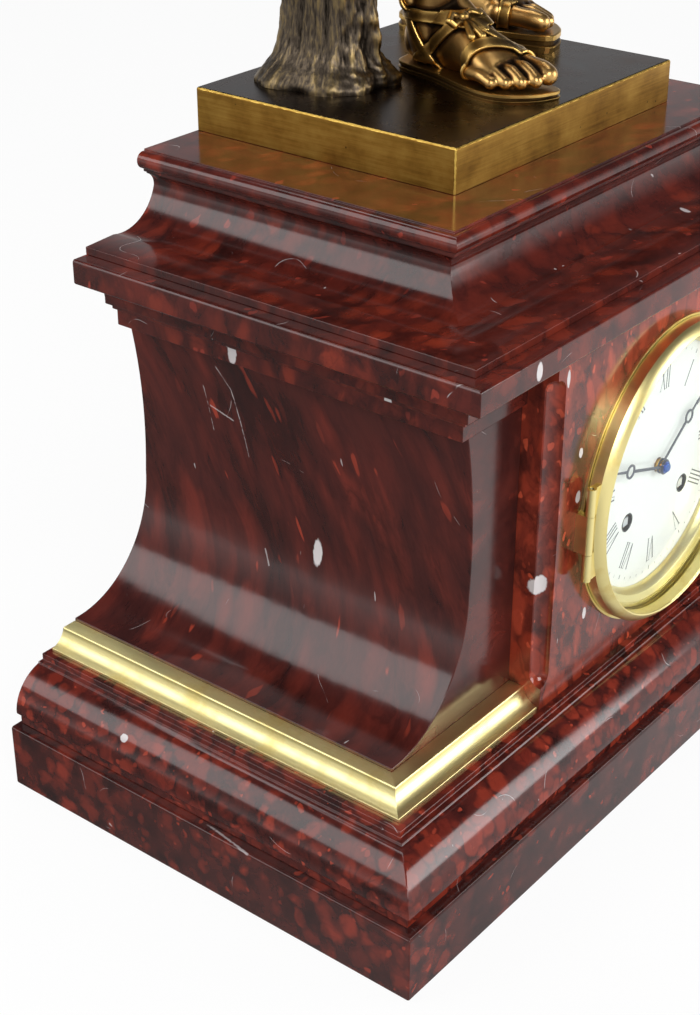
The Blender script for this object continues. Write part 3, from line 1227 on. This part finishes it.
def sole(side):
    """A layered sole with a waist between two welts, as a mesh."""
    place, _, _ = foot_frame(side)
    outline = smooth_rows(sole_rows + [sole_rows[0]], 6)[:-1]
    shape = bmesh.new()
    made = bmesh.ops.create_circle(shape, segments=len(outline), radius=MM)["verts"]
    for vert, (along, across) in zip(made, outline):
        vert.co = place(along, across, 0) * MM
        vert.co.z = plinth_top * MM
    ring = shape.edges[:]
    bmesh.ops.holes_fill(shape, edges=ring, sides=0)
    before, height = 1.0, 0.0
    for share, scale in sole_steps:
        rise = (share - height) * feet[side]["sole"] * MM
        ring = grow(shape, ring, place(0.5, 0, 0) * MM, scale / before, rise)
        before, height = scale, share
    bmesh.ops.holes_fill(shape, edges=ring, sides=0)
    bmesh.ops.recalc_face_normals(shape, faces=shape.faces)
    mesh = as_mesh(shape, "sole")
    with_relief(mesh, 1.2, rounds=2)
    return mesh


for side, foot in feet.items():
    skin = foot_and_leg(side)
    with_relief(skin, 0.85, rounds=40)
    for name, (cuts, ends) in strap_planes(*foot_frame(side)).items():
        darken_beside(skin, cuts, ends)
        strap = slice_of(skin, cuts + ends)
        with_relief(strap, 0.5, rounds=5)
        cast(side + "_strap_" + name, strap, strap_bronze)
    cast(side + "_bow", bow(side), strap_bronze)
    cast(side + "_sole", sole(side), strap_bronze, foot["node"], smooth=False)
    cast(side + "_foot_and_leg", skin, skin_bronze, foot["node"])

# %% [markdown]
# ## Tunic and belt
#
# The youth wears a short belted tunic. Its cloth bags over the belt and falls below it in pleats
# that widen to the hem. On a bronze the cloth is modelled with the rest, so a smooth torso is
# wrapped first, and its points are then pushed in and out along their normals. The pleats are a
# few sine waves round the body whose phases wander with noise, so that no two are alike.

# %% Tunic
tunic_rows = [(0.362, 0.008, -0.004, 0.104, 0.077), (0.420, 0.006, -0.002, 0.096, 0.071),
              (0.480, 0.004, 0, 0.088, 0.065), (0.545, 0, -0.002, 0.076, 0.056),
              (0.588, -0.003, -0.004, 0.066, 0.047), (0.600, -0.004, -0.004, 0.065, 0.046),
              (0.612, -0.004, -0.005, 0.071, 0.051), (0.635, -0.006, -0.006, 0.077, 0.055),
              (0.680, -0.008, -0.006, 0.079, 0.054), (0.721, -0.010, -0.007, 0.086, 0.058),
              (0.769, -0.010, -0.006, 0.090, 0.054), (0.800, -0.010, -0.004, 0.082, 0.043),
              (0.822, -0.010, -0.003, 0.055, 0.033), (0.838, -0.010, -0.003, 0.031, 0.026)]
belt_z = plinth_top + 0.6 * figure_height
hem_z = plinth_top + 0.362 * figure_height
shoulder_z = plinth_top + 0.792 * figure_height
shoulder_rods = ((-16, -3, 2, 18), (0, -3, -2, 18.5), (7, -1, -26, 20.0), (9, 1, -42, 21.5))
middle_x, middle_y = pelvis[0], pelvis[1] - 2


def pleats(place, normal):
    """Folds of the tunic at a place, in millimetres along the normal."""
    turn = math.atan2(place.y - middle_y, place.x - middle_x)
    wander = noise.noise(place * 0.018) * 1.6
    if abs(normal.z) > 0.93 and place.z < hem_z + 8:
        return 0.0
    if place.z < belt_z:
        fall = min(max((belt_z - place.z) / (belt_z - hem_z), 0), 1)
        wave = math.sin(14 * turn + wander + 1.2 * fall) + 0.6 * math.sin(23 * turn + 2 * wander)
        ridge = 1 - abs(wave) * 0.9
        return (1.0 + 2.7 * fall) * (ridge - 0.3) + noise.noise(place * 0.06) * 1.2
    rise = min((place.z - belt_z) / 70, 1)
    across = abs(place.x - middle_x - 4)
    hang = math.sin(place.z * 0.26 - across * 0.13 + wander * 2.6 + 0.5 * math.sin(turn * 3))
    bag = math.exp(-((place.z - belt_z - 9) / 8) ** 2) * (1.8 + 1.4 * math.sin(17 * turn + wander))
    upright = math.sin(15 * turn + wander) * (1 - rise)
    return hang * (0.35 + 0.5 * rise) + bag + upright + noise.noise(place * 0.05) * 1.5


shape = bmesh.new()
loft(shape, smooth_rows(body_rows_mm(tunic_rows), 4), sides=64)
for side, x_share in ((-1, -0.089), (1, 0.070)):
    shoulder_x = pelvis[0] + x_share * figure_height
    bone(shape, [(shoulder_x + side * out, pelvis[1] + back, shoulder_z + up, radius)
                 for out, back, up, radius in shoulder_rods], sides=24)
mesh = fused(shape, 1.55, rounds=5)
moved_points(mesh, pleats)
with_relief(mesh, 1.5, rounds=16)
cast("tunic_folds", mesh, cloth_bronze, "tunic")

# %% Belt
belt_oval = (0.6, -0.004, -0.004, 0.0665, 0.0475)
belt_profile = ((-4.5, 0.6), (-3.8, 2.0), (-2.4, 2.4), (-2.0, 1.5), (2.0, 1.5), (2.4, 2.4), (3.8, 2.0),
                (4.5, 0.6))
shape = bmesh.new()
x, y, z, half_x, half_y = body_rows_mm([belt_oval])[0]
loft(shape, [(x, y, z + up, half_x + out, half_y + out) for up, out in belt_profile], sides=96)
bmesh.ops.recalc_face_normals(shape, faces=shape.faces)
mesh = as_mesh(shape, "belt")
with_relief(mesh, 0.6, rounds=2)
cast("belt", mesh, strap_bronze)

# %% [markdown]
# ## Arms and hands
#
# The right hand rests on the stump and the left hangs by the thigh. Upper arm, elbow, forearm and
# wrist are ovals, and each finger is a chain of three tapering rods, all under one skin.

# %% Arms
right_fingers = [
    [(-48, 60, 540, 3.7), (-52, 51, 539, 3.3), (-55, 45, 535, 2.9), (-56.5, 42, 530.5, 2.6)],
    [(-41, 57, 540.5, 3.8), (-42, 48, 539.8, 3.4), (-43, 42, 536, 3.0), (-43.5, 39, 531, 2.7)],
    [(-34, 57, 540.5, 3.7), (-32.5, 48, 539.8, 3.3), (-31, 42.5, 536, 2.9), (-30.5, 40, 531.5, 2.6)],
    [(-28, 60, 540, 3.4), (-24, 52, 539.3, 3.0), (-21, 47.5, 536, 2.6), (-20, 45, 532.5, 2.3)],
    [(-27, 74, 540.5, 4.2), (-20, 66, 539.5, 3.7), (-16, 60, 537.5, 3.2)]]
left_fingers = [
    [(76.5, 58, 522, 3.4), (76, 58, 511, 3.1), (74, 56, 503, 2.7), (71.5, 54, 497, 2.4)],
    [(77, 52, 521, 3.7), (76.5, 51, 508.5, 3.4), (74, 49.5, 500, 3.0), (71, 48, 494, 2.6)],
    [(77, 45.5, 522, 3.7), (76.5, 44, 510, 3.3), (74, 43, 502, 2.9), (71, 42, 496, 2.6)],
    [(76.5, 40, 525, 3.5), (76, 38, 514, 3.2), (73.5, 37, 507, 2.8), (70.5, 37, 502, 2.5)],
    [(74, 38, 538, 4.2), (71, 33, 528, 3.6), (69.5, 31, 519, 3.0)]]
arms = {
    "right": dict(node="right_arm", palm=((-38, 71, 540.5), (13.0, 15.0, 5.6)), fingers=right_fingers,
                  rows=[(0.806, -0.082, -0.006, 0.026, 0.027), (0.785, -0.094, -0.004, 0.031, 0.032),
                        (0.740, -0.105, 0.000, 0.0285, 0.031), (0.700, -0.114, 0.006, 0.0265, 0.029),
                        (0.660, -0.121, 0.011, 0.023, 0.025), (0.628, -0.127, 0.016, 0.0215, 0.0235),
                        (0.600, -0.128, 0.019, 0.024, 0.0245), (0.565, -0.124, 0.021, 0.0235, 0.0235),
                        (0.520, -0.115, 0.022, 0.0185, 0.0185), (0.492, -0.109, 0.022, 0.0155, 0.0155),
                        (0.480, -0.106, 0.021, 0.0155, 0.0160)]),
    "left": dict(node="left_arm", palm=((76.5, 50, 534), (6.0, 12.0, 14.0)), fingers=left_fingers,
                 rows=[(0.806, 0.062, -0.006, 0.026, 0.027), (0.785, 0.076, -0.006, 0.031, 0.032),
                       (0.740, 0.087, -0.003, 0.0285, 0.031), (0.700, 0.096, 0.001, 0.0265, 0.029),
                       (0.660, 0.103, 0.004, 0.023, 0.025), (0.628, 0.109, 0.006, 0.0215, 0.0235),
                       (0.600, 0.112, 0.003, 0.024, 0.0245), (0.565, 0.114, -0.004, 0.0235, 0.0235),
                       (0.520, 0.115, -0.013, 0.0185, 0.0185), (0.492, 0.115, -0.019, 0.0145, 0.0165),
                       (0.478, 0.115, -0.021, 0.0145, 0.0170)]),
}
for side, arm in arms.items():
    shape = bmesh.new()
    loft(shape, smooth_rows(body_rows_mm(arm["rows"]), 4))
    blob(shape, *arm["palm"])
    for finger in arm["fingers"]:
        bone(shape, finger)
    mesh = fused(shape, 0.8, rounds=5)
    with_relief(mesh, 1.0, rounds=30)
    cast(side + "_arm_and_hand", mesh, skin_bronze, arm["node"])

# %% [markdown]
# ## Head
#
# The head is a plain ideal type, of the proportions that drawing books give: the eyes are at half
# its height, the nose ends halfway from the brow to the chin, and the lips lie a third of the way
# below that. Its features are calm and regular. Each is a ball or a few rods under one skin, and
# the sockets are pushed in afterwards, because a skin can only be wrapped round what stands out.

# %% Forms of the face
head_x, head_y = pelvis[0] - 0.015 * figure_height, pelvis[1] - 0.012 * figure_height
chin_z = plinth_top + 0.868 * figure_height
face_forms = {"skull": (0, 3, 44, (24.0, 28.5, 24.5)), "face": (0, -7, 29, (20.5, 18.5, 26)),
              "nape": (0, 8, 31, (20.5, 21.0, 20.0)), "jaw": (0, -6.5, 13.5, (17.0, 16.5, 11.5)),
              "chin": (0, -20.0, 5.2, (7.0, 5.0, 4.8))}
paired_forms = {"brow": (8.4, -21.8, 38.4, (8.6, 3.8, 2.4)), "cheek": (11.2, -13.2, 26.5, (8.4, 7.6, 9.0)),
                "jaw_corner": (11.5, -2.0, 12.0, (6.5, 11.0, 7.0)), "ear": (20.9, 3.0, 31.0, (2.0, 4.4, 7.2)),
                "nostril": (2.7, -25.6, 21.4, (2.2, 2.8, 2.0))}
nose = [(0, -22.8, 39.5, 3.0), (0, -25.6, 31, 2.5), (0, -28.2, 24.2, 2.8)]
neck = [(0, 6, -22, 19.0), (0, 6.5, -8, 15.2), (0, 5.5, 14, 16.0)]
socket, socket_size, socket_depth = (8.2, -24.5, 33), (6.6, 12.0, 4.4), 2.7
lip_hollow, lip_hollow_size, lip_hollow_depth = (0, -24, 9.0), (6.0, 8.0, 1.8), 0.9


def face_part(shape, x, y, z, half):
    """A ball of the face, placed from the chin and the middle of the head."""
    blob(shape, (head_x + x, head_y + y, chin_z + z), half)


def face_line(shape, points, lean=1, sides=12):
    """A chain of rods on the face; a lean of -1 mirrors it."""
    bone(shape, [(head_x + lean * x, head_y + y, chin_z + z, radius) for x, y, z, radius in points], sides)


def hollow(place, centre, size, depth):
    """A soft hollow, placed from the chin and the middle of the head."""
    away = place - Vector((head_x, head_y, chin_z)) - Vector(centre)
    return -depth * math.exp(-sum((part / half) ** 2 for part, half in zip(away, size)))


def eye_hollows(place, normal):
    """The sockets under the brow, and the hollow between lip and chin."""
    left, right = ((lean * socket[0], *socket[1:]) for lean in (-1, 1))
    return (hollow(place, left, socket_size, socket_depth) + hollow(place, right, socket_size, socket_depth)
            + hollow(place, lip_hollow, lip_hollow_size, lip_hollow_depth))


shape = bmesh.new()
for form in face_forms.values():
    face_part(shape, *form)
for lean in (-1, 1):
    for x, y, z, half in paired_forms.values():
        face_part(shape, lean * x, y, z, half)
face_line(shape, nose)
face_line(shape, neck, sides=28)
skin = fused(shape, 0.7, rounds=7)
moved_points(skin, eye_hollows)
print("head:", round(max(vert.co.z for vert in skin.vertices) / MM - chin_z, 1), "mm over the chin")

# %% Eyes and lips
eyeball = (8.4, -18.2, 32.6, (5.4, 4.6, 3.6))
upper_lid = [(3.6, -21.0, 32.2, 0.5), (6.2, -22.9, 34.6, 0.8), (9.6, -22.7, 34.8, 0.8),
             (13.2, -19.6, 32.6, 0.5)]
lower_lid = [(4.4, -21.4, 31.2, 0.4), (8.0, -22.3, 29.9, 0.5), (12.0, -20.4, 31.2, 0.4)]
upper_lip = [(-6.6, -21.0, 14.4, 0.6), (-2.8, -23.8, 15.4, 1.05), (0, -24.0, 15.0, 1.05),
             (2.8, -23.8, 15.4, 1.05), (6.6, -21.0, 14.4, 0.6)]
lower_lip = [(-5.6, -21.2, 13.3, 0.7), (-2.2, -23.4, 12.6, 1.3), (2.2, -23.4, 12.6, 1.3),
             (5.6, -21.2, 13.3, 0.7)]

shape = bmesh.new()
shape.from_mesh(skin)
for lean in (-1, 1):
    x, y, z, half = eyeball
    face_part(shape, lean * x, y, z, half)
    face_line(shape, upper_lid, lean)
    face_line(shape, lower_lid, lean)
face_line(shape, upper_lip)
face_line(shape, lower_lip)
skin = fused(shape, 0.62, rounds=3)
with_relief(skin, 1.7, rounds=24)
cast("head_and_neck", skin, skin_bronze, "head")

# %% [markdown]
# ## Hair
#
# The hair is short and curly. Curls are spread evenly over the head by turning each one by the
# golden angle from the last, and each is a small coil of tapering rods that lies on the skull. A
# ball under them closes the gaps, and one plane trims them along the forehead. Particle hair would
# look like real hair, but a founder models locks.

# %% Hair
random.seed(7)
curls = 230
golden_angle = 2.399963
skull_middle = (head_x, head_y + 3, chin_z + 44)
skull_half = (24.2, 29.0, 24.0)
coil_steps = 9
scalp, scalp_half = (0, 4.2, 45.5), (24.0, 28.6, 24.0)
hairline_place, hairline_normal = at(head_x, head_y - 22.5, chin_z + 50.5), Vector((0, -0.40, -0.92))

shape = bmesh.new()
for index in range(curls):
    up = 1 - 1.55 * (index + 0.5) / curls
    turn = index * golden_angle
    level = math.sqrt(max(1 - up * up, 0))
    way = Vector((level * math.cos(turn), level * math.sin(turn), up))
    if way.z < 0.14 + 0.30 * max(-way.y, 0) - 0.75 * max(way.y, 0):
        continue
    place = Vector([middle + part * half for middle, part, half in zip(skull_middle, way, skull_half)])
    aside = way.cross(Vector((0, 0, 1))).normalized() if abs(way.z) < 0.98 else Vector((1, 0, 0))
    above = aside.cross(way).normalized()
    size = random.uniform(2.7, 3.8)
    start = random.uniform(0, 6.28)
    lean = random.choice((-1, 1))
    coil = []
    for step in range(coil_steps):
        angle = start + lean * step * 0.85
        reach = size * (1 - step * 0.085)
        turned = (aside * math.cos(angle) + above * math.sin(angle)) * reach
        coil.append((*(place + turned + way * (0.4 + step * 0.16)), 1.15 - step * 0.03))
    bone(shape, coil, sides=8)
face_part(shape, *scalp, scalp_half)
mesh = fused(shape, 0.66, rounds=1)
trimmed = bmesh.new()
trimmed.from_mesh(mesh)
bmesh.ops.bisect_plane(trimmed, geom=trimmed.verts[:] + trimmed.edges[:] + trimmed.faces[:], dist=1e-7,
                       plane_co=hairline_place, plane_no=hairline_normal, clear_outer=True)
bmesh.ops.holes_fill(trimmed, edges=[line for line in trimmed.edges if line.is_boundary], sides=0)
mesh = as_mesh(trimmed, "hair")
with_relief(mesh, 0.9, rounds=14)
cast("hair_curls", mesh, hair_bronze)

# %% [markdown]
# ## Cloak
#
# A short cloak hangs from the left shoulder down the back. It is made as the tunic is: an oval
# form, one skin, and long upright folds pushed into it.

# %% Cloak
cloak_rows = [(0.832, 0.042, 0.014, 0.040, 0.024), (0.798, 0.042, 0.032, 0.064, 0.024),
              (0.731, 0.031, 0.047, 0.083, 0.020), (0.635, 0.023, 0.055, 0.087, 0.020),
              (0.538, 0.023, 0.061, 0.091, 0.021), (0.442, 0.023, 0.065, 0.096, 0.021),
              (0.322, 0.023, 0.067, 0.098, 0.020)]
cloak_top = plinth_top + 0.83 * figure_height
cloak_tall = 0.5 * figure_height


def cloak_folds(place, normal):
    """Long folds that gather to the shoulder."""
    if normal.z < -0.9:
        return 0.0
    fall = min(max((cloak_top - place.z) / cloak_tall, 0), 1)
    spread = (place.x - pelvis[0] - 16) / (0.5 + 0.6 * fall)
    wander = noise.noise(place * 0.012) * 2.4
    wave = math.sin(spread * 0.36 + wander) + 0.5 * math.sin(spread * 0.71 + 2 * wander + 1)
    return (0.8 + 2.2 * fall) * wave * (0.6 if normal.y < 0 else 1.0) + noise.noise(place * 0.05)


shape = bmesh.new()
loft(shape, smooth_rows(body_rows_mm(cloak_rows), 6), sides=80)
mesh = fused(shape, 1.5, rounds=4)
moved_points(mesh, cloak_folds)
with_relief(mesh, 1.5, rounds=16)
cast("cloak_folds", mesh, cloth_bronze, "cloak")

# %% Brooch
brooch_x = pelvis[0] + 0.048 * figure_height
brooch_z = plinth_top + 0.80 * figure_height
shape = bmesh.new()
blob(shape, (brooch_x, pelvis[1] - 22, brooch_z), (6.5, 3.2, 6.5))
blob(shape, (brooch_x, pelvis[1] - 25, brooch_z), (3.4, 2.0, 3.4))
mesh = fused(shape, 0.5, rounds=1)
with_relief(mesh, 0.6, rounds=10)
cast("shoulder_brooch", mesh, strap_bronze)
